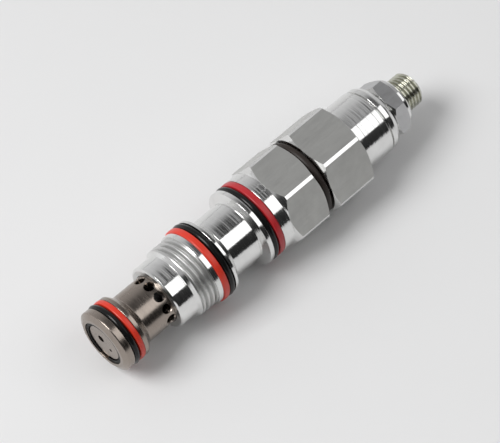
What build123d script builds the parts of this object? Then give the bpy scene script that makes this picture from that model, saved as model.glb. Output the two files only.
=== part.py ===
"""Screw-in cartridge valve: a three-port counterbalance cartridge with a vented spring chamber.

Millimetres. +X runs along the valve's axis from the nose to the adjusting screw and +Z is up.
The origin is on the axis at the locating shoulder, where the cartridge bottoms in its cavity.
The valve lies on one flat of its main hex. Radii start with R_, stations along X with X_.
"""
from build123d import *
from math import cos, pi, radians, sin, tan
import os

# nose sleeve, outside
X_NOSE = -29.0                  # front face of the nose
X_NOSE_EDGE = -28.2             # end of the nose's lead-in chamfer
R_NOSE_FACE = 7.1               # outer edge of the flat front face
R_NOSE = 8.65                   # nose seal lands
X_NOSE_GROOVE = (-26.4, -22.9)  # seal groove between the lands
X_NOSE_LAND_END = -21.8
R_SLEEVE = 6.9                  # sleeve between the nose and the body
X_SLEEVE_TAPER_END = -20.0
X_SLEEVE_END = 2.0              # upper end, inside the body
SIDE_HOLES = 12
R_SIDE_HOLE = 1.25
X_SIDE_HOLES = -12.75
SIDE_HOLE_START_DEG = 23.6      # angles run from +Y towards +Z

# nose sleeve, inside
R_NOSE_BORE = 5.7               # check seat's bore
R_RING_GROOVE = 6.2             # retaining ring's groove, open to the front face
X_RING_GROOVE = -27.9
X_CHECK_STOP = -16.0            # shoulder that the check seat closes against
R_PORT_CHAMBER = 5.1
X_GUIDE = -6.0                  # the sleeve closes to the piston's guide bore from here
RING_SEAT_X = (-2.2, 0.2)       # groove in the guide bore for the piston's lower seal
SLEEVE_SEAL_X = (-4.8, -3.0)    # groove round the sleeve for its seal in the body
R_SLEEVE_SEAL_FLOOR = 5.75

# valve body, outside
X_BODY = -11.2
R_PILOT = 8.95                  # plain lead-in below the thread
X_PILOT_END = -6.0
R_THREAD = 9.93                 # M20 x 1.5, crest
THREAD_PITCH = 1.5
THREAD_DEPTH = 0.92
X_THREAD_LEAD = -5.25           # end of the thread's lead-in chamfer
X_THREAD = (-4.7, -0.2)
R_SHOULDER = 10.4               # locating land; its front face is at X = 0
X_MIDDLE_GROOVE = (1.5, 5.3)
R_MIDDLE_FLANGE = 10.7
X_MIDDLE_FLANGE_END = 6.1
R_NECK = 8.5                    # pilot port's neck
X_NECK = (7.7, 16.3)
R_UPPER_FLANGE = 10.95
X_UPPER_FLANGE = 16.95
X_UPPER_GROOVE = (18.2, 21.9)
R_UPPER_LAND = 11.05
X_HEX = (25.05, 52.15)
HEX_AF = 22.225                 # 7/8 in across flats
R_HEX_CORNER = 12.57            # the corners are turned down to this
HEX_LEAD = 1.35                 # length of the chamfer at the hex's lower end
X_VENT_GROOVE = (36.5, 38.9)
R_VENT_FLOOR = 8.75
R_TUBE = 9.35                   # spring housing above the hex
X_TUBE_GROOVE = (61.58, 62.26)
R_TUBE_GROOVE = 8.45
R_TUBE_BAND = 9.15
X_TUBE_BAND_END = 63.6
X_LIP = 65.35                   # rolled lip over the top cap
R_LIP = 6.9

# valve body, inside
R_PILOT_CHAMBER = 5.2
R_SPRING_CHAMBER = 7.2
X_SPRING_CHAMBER = 16.0
X_CAP_CHAMFER = (62.5, 63.8)
R_CAP_NECK = 5.9
X_PILOT_HOLES = 10.2
R_PILOT_HOLE = 0.9
PILOT_HOLE_DEGS = (234.0, 294.0, 354.0)
R_VENT_HOLE = 0.8
VENT_HOLE_DEG = 270.0

# seals
SEAL_SECTION = 1.78             # all the outside O-rings
R_NOSE_GROOVE_FLOOR = 7.05
R_MIDDLE_GROOVE_FLOOR = 9.05
R_UPPER_GROOVE_FLOOR = 9.25
BACKUP_THICKNESS = 1.5
BACKUP_THICK_BODY = 1.75
BACKUP_STAND = 0.1              # a backup ring stands this far proud of its land
VENT_RING_SECTION = 2.15

# check
X_RETAINER = (-27.9, -26.9)
X_RETAINER_BOSS = -28.5         # front of the boss that stands inside the retaining ring
R_RETAINER_BOSS = 5.15
RETAINER_HOLES = ((1.2, 23.6, 1.0), (2.4, 205.0, 0.45))  # distance out, angle, radius
X_CHECK_SEAT = -21.8            # front face of the check seat at rest
R_CHECK_SEAT = 5.65
R_CHECK_BORE = 2.6
CHECK_WIRE = 0.5
CHECK_TURNS = 4.5
R_CHECK_SPRING = 4.7

# relief piston and its spring
R_PISTON = 3.0
R_PISTON_TOP = 3.6
GUIDE_CLEARANCE = 0.04
X_PISTON_CONE = (-17.98, -14.38)
R_PISTON_TIP = 1.4
X_PISTON_STEP = 6.0
X_PISTON_TOP = 20.0
X_GLAND = (12.2, 16.0)
GLAND_SEAL_X = (13.0, 15.2)
GLAND_SEAL_SECTION = 1.1
X_LOWER_SEAT = (18.2, 21.2)
X_UPPER_SEAT = (48.2, 51.2)
R_SPRING_SEAT = 6.95
R_SEAT_SPIGOT = 4.1
SPIGOT = 2.0
R_MAIN_SPRING = 5.3
MAIN_WIRE = 1.7
MAIN_TURNS = 9.0

# adjuster
X_CAP = (57.2, 65.55)
R_SCREW = 4.76                  # 3/8 in x 24 threads to the inch, crest
SCREW_PITCH = 25.4 / 24
SCREW_DEPTH = 0.6
X_SCREW = (51.25, 77.63)
X_SCREW_THREAD = (55.6, 76.6)
R_SCREW_FOOT = 3.9
SOCKET_AF = 3.97                # 5/32 in hex key
SOCKET_DEPTH = 4.5
X_STOP_RING = (53.2, 54.2)
R_STOP_RING = 5.6
R_STOP_GROOVE = 3.4
NUT_AF = 14.2875                # 9/16 in across flats
X_NUT = (65.6, 69.95)
X_NUT_TOP = 71.6
R_NUT_COLLAR = 6.8
R_NUT_BEARING = 6.6
NUT_START_DEG = 7.6
THREAD_CLEARANCE = 0.04

CHAMFER_30 = tan(radians(30))


def turned(points):
    """A solid of revolution about X from a closed outline of (x, radius) points."""
    wire = Polyline(*[(x, 0, r) for x, r in points], close=True)
    return revolve(make_face(wire), axis=Axis.X)


def bored(x0, x1, radius):
    """A plain cylinder along X, used as a shaft or to cut a bore."""
    return turned([(x0, 0), (x1, 0), (x1, radius), (x0, radius)])


def tube(x0, x1, inner, outer):
    """A plain ring along X."""
    return turned([(x0, inner), (x1, inner), (x1, outer), (x0, outer)])


def hex_bar(x0, x1, across_flats, corner_deg):
    """A hexagonal bar along X with one corner at corner_deg from +Y towards +Z."""
    plane = Plane(origin=(x0, 0, 0), x_dir=(0, 1, 0), z_dir=(1, 0, 0))
    section = plane * RegularPolygon(across_flats / 2, 6, major_radius=False, rotation=corner_deg)
    return extrude(section, amount=x1 - x0, dir=(1, 0, 0))


def radial_hole(x, angle_deg, radius, reach_from, reach_to):
    """A round hole's cutter, square to the axis."""
    a = radians(angle_deg)
    out = (0, cos(a), sin(a))
    start = (x, out[1] * reach_from, out[2] * reach_from)
    plane = Plane(origin=start, x_dir=(1, 0, 0), z_dir=out)
    return extrude(plane * Circle(radius), amount=reach_to - reach_from, dir=out)


def thread_outline(x0, x1, crest, depth, pitch):
    """Outline points of a run of thread grooves, one V per pitch, between x0 and x1."""
    flat = pitch / 8
    turns = int((x1 - x0) / pitch)
    points = []
    for turn in range(turns):
        start = x0 + turn * pitch
        points.append((start, crest))
        points.append((start + flat, crest))
        points.append((start + pitch / 2, crest - depth))
        points.append((start + pitch / 2 + flat, crest - depth))
    points.append((x0 + turns * pitch, crest))
    return points


def o_ring(x, floor_radius, section):
    """A round-section ring that sits on a groove floor."""
    ring = Torus(floor_radius + section / 2, section / 2)
    return Pos(x, 0, 0) * Rot(0, 90, 0) * ring


def backup_ring(x0, thickness, floor_radius, land_radius):
    """A flat-sided ring with broken outer edges, just proud of the lands beside it."""
    edge = 0.15
    outer = land_radius + BACKUP_STAND
    x1 = x0 + thickness
    return turned([(x0, floor_radius), (x1, floor_radius), (x1, outer - edge),
                   (x1 - edge, outer), (x0 + edge, outer), (x0, outer - edge)])


def coil_spring(x0, x1, mean_radius, wire, turns):
    """An open coil spring along X between two seats."""
    inset = wire / 2
    length = x1 - x0 - wire
    path = Helix(pitch=length / turns, height=length, radius=mean_radius)
    section = Plane(origin=path @ 0, z_dir=path % 0) * Circle(wire / 2)
    coil = sweep(section, path=path, is_frenet=True)
    return Pos(x0 + inset, 0, 0) * Rot(0, 90, 0) * coil


def nose_sleeve():
    """Sleeve with the nose seal groove, the ring of side holes and the piston's guide bore."""
    guide = R_PISTON + GUIDE_CLEARANCE
    outline = [
        (X_NOSE, R_RING_GROOVE), (X_NOSE, R_NOSE_FACE), (X_NOSE_EDGE, R_NOSE),
        (X_NOSE_GROOVE[0], R_NOSE), (X_NOSE_GROOVE[0], R_NOSE_GROOVE_FLOOR),
        (X_NOSE_GROOVE[1], R_NOSE_GROOVE_FLOOR), (X_NOSE_GROOVE[1], R_NOSE),
        (X_NOSE_LAND_END, R_NOSE), (X_SLEEVE_TAPER_END, R_SLEEVE),
        (SLEEVE_SEAL_X[0], R_SLEEVE), (SLEEVE_SEAL_X[0], R_SLEEVE_SEAL_FLOOR),
        (SLEEVE_SEAL_X[1], R_SLEEVE_SEAL_FLOOR), (SLEEVE_SEAL_X[1], R_SLEEVE),
        (X_SLEEVE_END, R_SLEEVE), (X_SLEEVE_END, guide),
        (RING_SEAT_X[1], guide), (RING_SEAT_X[1], guide + 1.2),
        (RING_SEAT_X[0], guide + 1.2), (RING_SEAT_X[0], guide),
        (X_GUIDE, guide), (X_GUIDE - 1.0, R_PORT_CHAMBER), (X_CHECK_STOP, R_PORT_CHAMBER),
        (X_CHECK_STOP, R_NOSE_BORE), (X_RING_GROOVE, R_NOSE_BORE), (X_RING_GROOVE, R_RING_GROOVE),
    ]
    sleeve = turned(outline)
    for n in range(SIDE_HOLES):
        angle = SIDE_HOLE_START_DEG + n * 360 / SIDE_HOLES
        sleeve -= radial_hole(X_SIDE_HOLES, angle, R_SIDE_HOLE, R_PORT_CHAMBER / 2, R_SLEEVE + 1)
    return sleeve


def body_envelope():
    """The body's turned shape: every round surface, and the hexes' turned corners."""
    hex_flat = HEX_AF / 2
    hex_chamfer = (R_HEX_CORNER - hex_flat) * CHAMFER_30
    outline = [(X_BODY, R_SLEEVE), (X_BODY, R_PILOT - 0.4), (X_BODY + 0.4, R_PILOT),
               (X_PILOT_END, R_PILOT), (X_THREAD_LEAD, R_THREAD)]
    outline += thread_outline(*X_THREAD, R_THREAD, THREAD_DEPTH, THREAD_PITCH)
    outline += [
        (0, R_THREAD), (0, R_SHOULDER), (X_MIDDLE_GROOVE[0], R_SHOULDER),
        (X_MIDDLE_GROOVE[0], R_MIDDLE_GROOVE_FLOOR), (X_MIDDLE_GROOVE[1], R_MIDDLE_GROOVE_FLOOR),
        (X_MIDDLE_GROOVE[1], R_MIDDLE_FLANGE), (X_MIDDLE_FLANGE_END, R_MIDDLE_FLANGE),
        (X_NECK[0], R_NECK), (X_NECK[1], R_NECK), (X_UPPER_FLANGE, R_UPPER_FLANGE),
        (X_UPPER_GROOVE[0], R_UPPER_FLANGE), (X_UPPER_GROOVE[0], R_UPPER_GROOVE_FLOOR),
        (X_UPPER_GROOVE[1], R_UPPER_GROOVE_FLOOR), (X_UPPER_GROOVE[1], R_UPPER_LAND),
        (X_HEX[0], R_UPPER_LAND), (X_HEX[0] + HEX_LEAD, R_HEX_CORNER),
        (X_VENT_GROOVE[0] - hex_chamfer, R_HEX_CORNER), (X_VENT_GROOVE[0], hex_flat),
        (X_VENT_GROOVE[0], R_VENT_FLOOR), (X_VENT_GROOVE[1], R_VENT_FLOOR),
        (X_VENT_GROOVE[1], hex_flat), (X_VENT_GROOVE[1] + hex_chamfer, R_HEX_CORNER),
        (X_HEX[1] - hex_chamfer, R_HEX_CORNER), (X_HEX[1], hex_flat), (X_HEX[1], R_TUBE),
        (X_TUBE_GROOVE[0], R_TUBE), (X_TUBE_GROOVE[0], R_TUBE_GROOVE),
        (X_TUBE_GROOVE[1], R_TUBE_GROOVE), (X_TUBE_GROOVE[1], R_TUBE_BAND),
        (X_TUBE_BAND_END, R_TUBE_BAND),
    ]
    steps = 6
    for n in range(1, steps + 1):
        a = n / steps * pi / 2
        outline.append((X_TUBE_BAND_END + (X_LIP - X_TUBE_BAND_END) * sin(a),
                        R_LIP + (R_TUBE_BAND - R_LIP) * cos(a)))
    outline += [
        (X_LIP, R_CAP_NECK), (X_CAP_CHAMFER[1], R_CAP_NECK),
        (X_CAP_CHAMFER[0], R_SPRING_CHAMBER), (X_SPRING_CHAMBER, R_SPRING_CHAMBER),
        (X_SPRING_CHAMBER, R_PILOT_CHAMBER), (X_SLEEVE_END, R_PILOT_CHAMBER),
        (X_SLEEVE_END, R_SLEEVE),
    ]
    return turned(outline)


def valve_body():
    """Threaded body with both outer seal grooves, the hexes and the spring housing, one piece."""
    hex_zone = tube(X_HEX[0], X_HEX[1], R_SPRING_CHAMBER, R_HEX_CORNER + 2)
    hexagon = hex_bar(X_HEX[0], X_HEX[1], HEX_AF, 0)
    body = body_envelope() - (hex_zone - hexagon)
    for angle in PILOT_HOLE_DEGS:
        body -= radial_hole(X_PILOT_HOLES, angle, R_PILOT_HOLE, R_PILOT_CHAMBER - 1, R_NECK + 1)
    vent_x = (X_VENT_GROOVE[0] + X_VENT_GROOVE[1]) / 2
    body -= radial_hole(vent_x, VENT_HOLE_DEG, R_VENT_HOLE, R_SPRING_CHAMBER - 1, R_VENT_FLOOR + 1)
    return body


def retaining_ring():
    """Split ring that holds the check's spring retainer in the nose."""
    inner = R_RING_GROOVE - 0.9
    gap_deg = 24
    ring = tube(X_NOSE + 0.25, X_RING_GROOVE, inner, R_RING_GROOVE)
    gap = Pos(X_NOSE, 0, -R_RING_GROOVE) * Box(4, 2 * R_RING_GROOVE * sin(radians(gap_deg / 2)), 5)
    return ring - gap


def check_spring_retainer():
    """Stepped disc at the mouth of the nose port, with its flow holes."""
    disc = turned([
        (X_RETAINER_BOSS, 0), (X_RETAINER_BOSS, R_RETAINER_BOSS - 0.15),
        (X_RETAINER_BOSS + 0.15, R_RETAINER_BOSS), (X_RETAINER[0], R_RETAINER_BOSS),
        (X_RETAINER[0], R_NOSE_BORE), (X_RETAINER[1], R_NOSE_BORE), (X_RETAINER[1], 0),
    ])
    for out, angle_deg, radius in RETAINER_HOLES:
        y = out * cos(radians(angle_deg))
        z = out * sin(radians(angle_deg))
        disc -= Pos(0, y, z) * bored(X_RETAINER_BOSS - 1, X_RETAINER[1] + 1, radius)
    return disc


def check_seat():
    """Sliding seat: closes on the sleeve's shoulder and carries the piston's seat edge."""
    return turned([
        (X_CHECK_SEAT, R_CHECK_BORE), (X_CHECK_SEAT, 4.1), (X_CHECK_SEAT + 1.5, 4.1),
        (X_CHECK_SEAT + 1.5, R_CHECK_SEAT), (X_CHECK_STOP, R_CHECK_SEAT),
        (X_CHECK_STOP, R_CHECK_BORE + 0.3), (X_CHECK_STOP - 0.3, R_CHECK_BORE),
    ])


def relief_piston():
    """Stepped piston: cone on the check seat, guide diameter, larger pilot diameter."""
    return turned([
        (X_PISTON_CONE[0], 0), (X_PISTON_CONE[0], R_PISTON_TIP), (X_PISTON_CONE[1], R_PISTON + 0.9),
        (X_PISTON_CONE[1] + 1.2, R_PISTON + 0.9), (X_PISTON_CONE[1] + 2.0, R_PISTON - 0.5),
        (X_GUIDE - 1.5, R_PISTON - 0.5), (X_GUIDE - 1.0, R_PISTON), (X_PISTON_STEP, R_PISTON),
        (X_PISTON_STEP + 0.4, R_PISTON_TOP), (X_PISTON_TOP - 0.4, R_PISTON_TOP),
        (X_PISTON_TOP, R_PISTON_TOP - 0.4), (X_PISTON_TOP, 0),
    ])


def pilot_gland():
    """Bush that guides the piston's pilot diameter, with an inside seal groove."""
    bore = R_PISTON_TOP + GUIDE_CLEARANCE
    return turned([
        (X_GLAND[0], bore), (X_GLAND[0], R_PILOT_CHAMBER), (X_GLAND[1], R_PILOT_CHAMBER),
        (X_GLAND[1], bore), (GLAND_SEAL_X[1], bore), (GLAND_SEAL_X[1], bore + 1.1),
        (GLAND_SEAL_X[0], bore + 1.1), (GLAND_SEAL_X[0], bore),
    ])


def spring_seat(x_face, x_back, spigot, socket_radius, socket_depth):
    """Flanged seat with a spigot inside the spring and a socket on its other side."""
    way = 1 if x_face > x_back else -1
    return turned([
        (x_back + way * socket_depth, 0), (x_back + way * socket_depth, socket_radius),
        (x_back, socket_radius), (x_back, R_SPRING_SEAT), (x_face, R_SPRING_SEAT),
        (x_face, R_SEAT_SPIGOT), (x_face + way * spigot, R_SEAT_SPIGOT - 0.3),
        (x_face + way * spigot, 0),
    ])


def top_cap():
    """Plug under the rolled lip, bored for the adjusting screw's thread."""
    bore = R_SCREW + THREAD_CLEARANCE
    return turned([
        (X_CAP[0], bore + 0.5), (X_CAP[0], R_SPRING_CHAMBER), (X_CAP_CHAMFER[0], R_SPRING_CHAMBER),
        (X_CAP_CHAMFER[1], R_CAP_NECK), (X_CAP[1], R_CAP_NECK), (X_CAP[1], bore + 0.3),
        (X_CAP[1] - 0.3, bore), (X_CAP[0] + 0.5, bore),
    ])


def adjusting_screw():
    """Set screw with a foot on the upper spring seat and a hex socket in its outer end."""
    lead = 0.9
    outline = [
        (X_SCREW[0], 0), (X_SCREW[0], R_SCREW_FOOT - 0.6), (X_SCREW[0] + 0.6, R_SCREW_FOOT),
        (X_STOP_RING[0], R_SCREW_FOOT), (X_STOP_RING[0], R_STOP_GROOVE),
        (X_STOP_RING[1], R_STOP_GROOVE), (X_STOP_RING[1], R_SCREW_FOOT),
        (X_SCREW_THREAD[0] - 0.9, R_SCREW_FOOT),
    ]
    outline += thread_outline(*X_SCREW_THREAD, R_SCREW, SCREW_DEPTH, SCREW_PITCH)
    outline += [(X_SCREW[1] - lead, R_SCREW), (X_SCREW[1], R_SCREW - lead), (X_SCREW[1], 0)]
    socket = hex_bar(X_SCREW[1] - SOCKET_DEPTH, X_SCREW[1] + 1, SOCKET_AF, NUT_START_DEG)
    drill = turned([(X_SCREW[1] - SOCKET_DEPTH - 1.1, 0), (X_SCREW[1] - SOCKET_DEPTH, 0),
                    (X_SCREW[1] - SOCKET_DEPTH, SOCKET_AF / 2)])
    return turned(outline) - socket - drill


def lock_nut():
    """Thin hex nut with a turned collar on its outer side."""
    flat = NUT_AF / 2
    corner = flat / cos(radians(30))
    bore = R_SCREW + THREAD_CLEARANCE
    rise = (corner - flat) * CHAMFER_30
    envelope = turned([
        (X_NUT[0], bore + 0.4), (X_NUT[0], R_NUT_BEARING),
        (X_NUT[0] + (corner - R_NUT_BEARING) * CHAMFER_30, corner),
        (X_NUT[1] - rise, corner), (X_NUT[1], flat), (X_NUT[1], R_NUT_COLLAR),
        (X_NUT_TOP - 0.5, R_NUT_COLLAR), (X_NUT_TOP, R_NUT_COLLAR - 0.5),
        (X_NUT_TOP, bore + 0.4), (X_NUT_TOP - 0.4, bore), (X_NUT[0] + 0.4, bore),
    ])
    return envelope & hex_bar(X_NUT[0], X_NUT_TOP, NUT_AF, NUT_START_DEG)


def outer_seals():
    """The six rings in the three outside grooves, and the ring over the vent."""
    half = SEAL_SECTION / 2
    nose_x0, nose_x1 = X_NOSE_GROOVE
    mid_x0, mid_x1 = X_MIDDLE_GROOVE
    up_x0, up_x1 = X_UPPER_GROOVE
    vent_x = (X_VENT_GROOVE[0] + X_VENT_GROOVE[1]) / 2
    return {
        "nose_o_ring": o_ring(nose_x0 + half + 0.1, R_NOSE_GROOVE_FLOOR, SEAL_SECTION),
        "nose_backup_ring": backup_ring(nose_x1 - BACKUP_THICKNESS, BACKUP_THICKNESS,
                                        R_NOSE_GROOVE_FLOOR, R_NOSE),
        "middle_backup_ring": backup_ring(mid_x0, BACKUP_THICK_BODY, R_MIDDLE_GROOVE_FLOOR,
                                          R_MIDDLE_FLANGE),
        "middle_o_ring": o_ring(mid_x1 - half - 0.1, R_MIDDLE_GROOVE_FLOOR, SEAL_SECTION),
        "upper_o_ring": o_ring(up_x0 + half + 0.1, R_UPPER_GROOVE_FLOOR, SEAL_SECTION),
        "upper_backup_ring": backup_ring(up_x1 - BACKUP_THICK_BODY, BACKUP_THICK_BODY,
                                         R_UPPER_GROOVE_FLOOR, R_UPPER_FLANGE),
        "vent_ring": o_ring(vent_x, R_VENT_FLOOR, VENT_RING_SECTION),
    }


def inner_seals():
    """Seals that show only with the valve taken apart."""
    guide = R_PISTON + GUIDE_CLEARANCE
    gland = R_PISTON_TOP + GUIDE_CLEARANCE
    gland_half = GLAND_SEAL_SECTION / 2
    return {
        "sleeve_o_ring": o_ring(sum(SLEEVE_SEAL_X) / 2, R_SLEEVE_SEAL_FLOOR, 1.14),
        "piston_o_ring": o_ring(sum(RING_SEAT_X) / 2, guide, 1.18),
        "gland_o_ring": o_ring(GLAND_SEAL_X[0] + gland_half, gland, 1.08),
        "gland_backup_ring": tube(GLAND_SEAL_X[1] - 1.0, GLAND_SEAL_X[1], gland, gland + 1.1),
    }


def make_parts():
    """Every sub-part by node name."""
    parts = {
        "valve_body": valve_body(),
        "nose_sleeve": nose_sleeve(),
        "nose_retaining_ring": retaining_ring(),
        "check_spring_retainer": check_spring_retainer(),
        "check_spring": coil_spring(X_RETAINER[1], X_CHECK_SEAT + 1.5, R_CHECK_SPRING,
                                    CHECK_WIRE, CHECK_TURNS),
        "check_seat": check_seat(),
        "relief_piston": relief_piston(),
        "pilot_gland": pilot_gland(),
        "lower_spring_seat": spring_seat(X_LOWER_SEAT[1], X_LOWER_SEAT[0], SPIGOT, R_PISTON_TOP,
                                         X_PISTON_TOP - X_LOWER_SEAT[0]),
        "main_spring": coil_spring(X_LOWER_SEAT[1], X_UPPER_SEAT[0], R_MAIN_SPRING,
                                   MAIN_WIRE, MAIN_TURNS),
        "upper_spring_seat": spring_seat(X_UPPER_SEAT[0], X_UPPER_SEAT[1], SPIGOT, 1.0, 0.5),
        "top_cap": top_cap(),
        "adjusting_screw": adjusting_screw(),
        "screw_stop_ring": tube(*X_STOP_RING, R_STOP_GROOVE, R_STOP_RING),
        "lock_nut": lock_nut(),
    }
    parts.update(outer_seals())
    parts.update(inner_seals())
    return parts


os.makedirs("parts", exist_ok=True)
for name, shape in make_parts().items():
    export_step(shape, f"parts/{name}.step")
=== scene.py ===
"""Screw-in cartridge valve: its visible pieces, their finishes and a small studio.

Lengths in outlines are millimetres along the valve's axis (X) and out from it; every mesh is
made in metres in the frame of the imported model, whose origin is at the locating shoulder.
"""
import math

import bmesh
import bpy
import numpy as np
from bpy.props import FloatProperty, FloatVectorProperty, IntProperty, PointerProperty
from mathutils import Matrix, Vector


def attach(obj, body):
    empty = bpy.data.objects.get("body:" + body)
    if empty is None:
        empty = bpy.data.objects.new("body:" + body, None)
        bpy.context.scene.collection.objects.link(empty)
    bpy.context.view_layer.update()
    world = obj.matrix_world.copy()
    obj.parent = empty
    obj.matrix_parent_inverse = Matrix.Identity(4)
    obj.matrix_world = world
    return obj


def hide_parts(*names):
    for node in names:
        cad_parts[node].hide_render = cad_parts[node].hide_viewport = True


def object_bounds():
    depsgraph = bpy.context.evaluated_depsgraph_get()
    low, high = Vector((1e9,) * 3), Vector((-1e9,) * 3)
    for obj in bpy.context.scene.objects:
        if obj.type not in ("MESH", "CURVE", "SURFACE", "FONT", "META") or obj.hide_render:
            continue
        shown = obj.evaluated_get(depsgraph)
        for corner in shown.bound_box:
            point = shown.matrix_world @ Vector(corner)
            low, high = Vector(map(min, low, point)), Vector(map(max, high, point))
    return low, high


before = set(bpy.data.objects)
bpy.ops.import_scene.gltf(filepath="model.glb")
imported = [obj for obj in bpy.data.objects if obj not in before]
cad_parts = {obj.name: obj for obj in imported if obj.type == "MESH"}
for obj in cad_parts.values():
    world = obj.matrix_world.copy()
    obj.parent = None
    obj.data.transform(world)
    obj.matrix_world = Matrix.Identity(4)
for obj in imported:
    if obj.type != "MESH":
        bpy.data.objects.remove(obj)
CAD_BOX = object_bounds()

bl_info = {
    "name": "Cartridge valve",
    "version": (1, 0, 0),
    "blender": (4, 5, 0),
    "location": "3D View > Sidebar > Valve",
    "description": "Builds a screw-in cartridge valve round its packed frame",
    "category": "Object",
}

MM = 0.001
FLAT_CELLS = 14                 # cells across half a hex flat
CORNER_CELLS = 6                # cells from a flat's edge to the corner
SIDE_CELLS = 2 * (FLAT_CELLS + CORNER_CELLS)
AROUND = 6 * SIDE_CELLS         # points in every ring
RING_STEPS = 40                 # points round an O-ring's section and round a drilled hole
ARC_STEPS = 4                   # pieces in a rounded corner
CONE_STEPS = 9                  # stations along a hex chamfer
SIXTH = math.pi / 6
SMOOTH_LIMIT = math.radians(24)
MERGE_DIST = 0.0005 * MM        # points closer than this are one point
VIEW_SIDE_DEG = 113.6           # the side that faces the camera, from +Y towards +Z
ADJUSTER_SPIN = math.radians(7.6)   # how far the lock nut and the socket are turned
CHAMFER_RISE = 0.577            # rise of the nut's base cone along the axis
TINY = 0.001                    # radius that closes a piece on the axis
ZINC, MILLED, THREAD = range(3)     # slots of the body's finishes

# the studio, in metres
FLOOR_REACH = 2.5
FLOOR_GAP = 0.00002
SENSOR_WIDTH = 36.0             # millimetres
CAMERA_AIM = Vector((0.0203, -0.00015, 0.0))
LIT_POINT = Vector((0.024, 0.0, 0.0))
NEAR_LIGHT = Vector((0.25, -0.28, 0.49))
KEY_LIGHT = Vector((-0.58, 0.28, 0.78)) + LIT_POINT

# thread form: how deep the groove is at each fraction of a pitch
THREAD_FORM = ((0.0, 0.0), (0.08, 0.0), (0.13, 0.05), (0.26, 0.42), (0.40, 0.93), (0.46, 1.0),
               (0.54, 1.0), (0.60, 0.93), (0.74, 0.42), (0.87, 0.05), (0.92, 0.0))


# ---------------------------------------------------------------- sizes and colours

def length(name, text, millimetres):
    """A length property with its default in millimetres."""
    return FloatProperty(name=name, description=text, default=millimetres * MM, min=0.0,
                         unit="LENGTH", precision=5)


def colour(name, text, value):
    """A linear colour property."""
    return FloatVectorProperty(name=name, description=text, default=value, size=3, min=0.0,
                               max=1.0, subtype="COLOR")


class ValveBodySizes(bpy.types.PropertyGroup):
    """Radii and hex of the threaded body."""
    hex_flats: length("Hex across flats", "Main hex, flat to flat", 22.225)
    hex_corner: length("Hex corner radius", "Radius the hex corners are turned to", 12.57)
    pilot: length("Pilot radius", "Plain lead-in below the thread", 8.95)
    thread: length("Thread radius", "Crest of the cavity thread", 9.93)
    thread_pitch: length("Thread pitch", "Pitch of the cavity thread", 1.5)
    thread_depth: length("Thread depth", "Depth of the cavity thread", 0.92)
    shoulder: length("Shoulder radius", "Locating land above the thread", 10.4)
    middle_flange: length("Middle flange radius", "Flange above the middle seal", 10.7)
    neck: length("Neck radius", "Neck at the pilot port", 8.5)
    upper_flange: length("Upper flange radius", "Flange below the upper seal", 10.95)
    upper_land: length("Upper land radius", "Land between the upper seal and the hex", 11.05)
    tube: length("Tube radius", "Spring housing above the hex", 9.35)
    edge: length("Edge break", "Radius on the turned edges", 0.12)


class NoseSleeveSizes(bpy.types.PropertyGroup):
    """Radii of the nose sleeve and its side holes."""
    nose: length("Nose radius", "Lands beside the nose seal", 8.65)
    sleeve: length("Sleeve radius", "Sleeve between the nose and the body", 6.9)
    bore: length("Bore radius", "Bore that the check seat slides in", 5.7)
    ring_groove: length("Ring groove radius", "Groove of the retaining ring", 6.2)
    chamber: length("Chamber radius", "Inside wall behind the side holes", 5.1)
    side_hole: length("Side hole radius", "Holes in a ring round the sleeve", 1.25)
    countersink: length("Countersink", "Width of the broken edge on each side hole", 0.22)
    side_holes: IntProperty(name="Side holes", description="Number of side holes", default=12,
                            min=3, max=16)


class SealSizes(bpy.types.PropertyGroup):
    """Sections of the rings."""
    section: length("O-ring section", "Section of the outside O-rings", 1.78)
    vent_section: length("Vent ring section", "Section of the ring over the vent", 2.15)
    backup_edge: length("Backup ring edge", "Radius on the backup rings' edges", 0.28)


class AdjusterSizes(bpy.types.PropertyGroup):
    """Lock nut and adjusting screw."""
    nut_flats: length("Nut across flats", "Lock nut, flat to flat", 14.2875)
    nut_bore: length("Nut bore radius", "Bore round the adjusting screw", 4.8)
    nut_collar: length("Nut collar radius", "Round collar on the outer side", 6.8)
    screw: length("Screw radius", "Crest of the adjusting screw's thread", 4.76)
    screw_pitch: length("Screw pitch", "Pitch of the adjusting screw", 25.4 / 24)
    screw_depth: length("Screw thread depth", "Depth of the adjusting screw's thread", 0.6)
    socket_flats: length("Socket across flats", "Hex socket in the adjusting screw", 3.97)
    socket_depth: length("Socket depth", "Depth of the hex socket", 4.5)


class FinishColours(bpy.types.PropertyGroup):
    """Base colours of the finishes."""
    zinc: colour("Bright zinc", "Plated turned surfaces", (0.80, 0.80, 0.79))
    thread: colour("Thread zinc", "Rougher plate of the thread", (0.66, 0.66, 0.65))
    milled: colour("Milled flats", "Satin flats of the main hex", (0.60, 0.60, 0.58))
    sleeve: colour("Sleeve steel", "Warm grey hardened steel", (0.345, 0.298, 0.262))
    rubber: colour("Seal rubber", "Black seal rubber", (0.006, 0.006, 0.006))
    vent: colour("Vent rubber", "Dull brown-black rubber", (0.026, 0.019, 0.016))
    backup: colour("Backup ring", "Red backup rings", (0.67, 0.037, 0.016))
    backup_deep: colour("Upper backup ring", "Deeper red of the upper ring", (0.46, 0.020, 0.026))
    nut: colour("Lock nut", "Satin plated nut", (0.54, 0.54, 0.545))
    screw: colour("Adjusting screw", "Faintly yellow passivation", (0.56, 0.56, 0.48))
    black_oxide: colour("Black oxide", "Retaining ring", (0.012, 0.012, 0.012))
    spring: colour("Spring wire", "Drawn wire", (0.40, 0.40, 0.41))
    ground: colour("Ground steel", "Inner steel pieces", (0.55, 0.55, 0.56))


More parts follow.
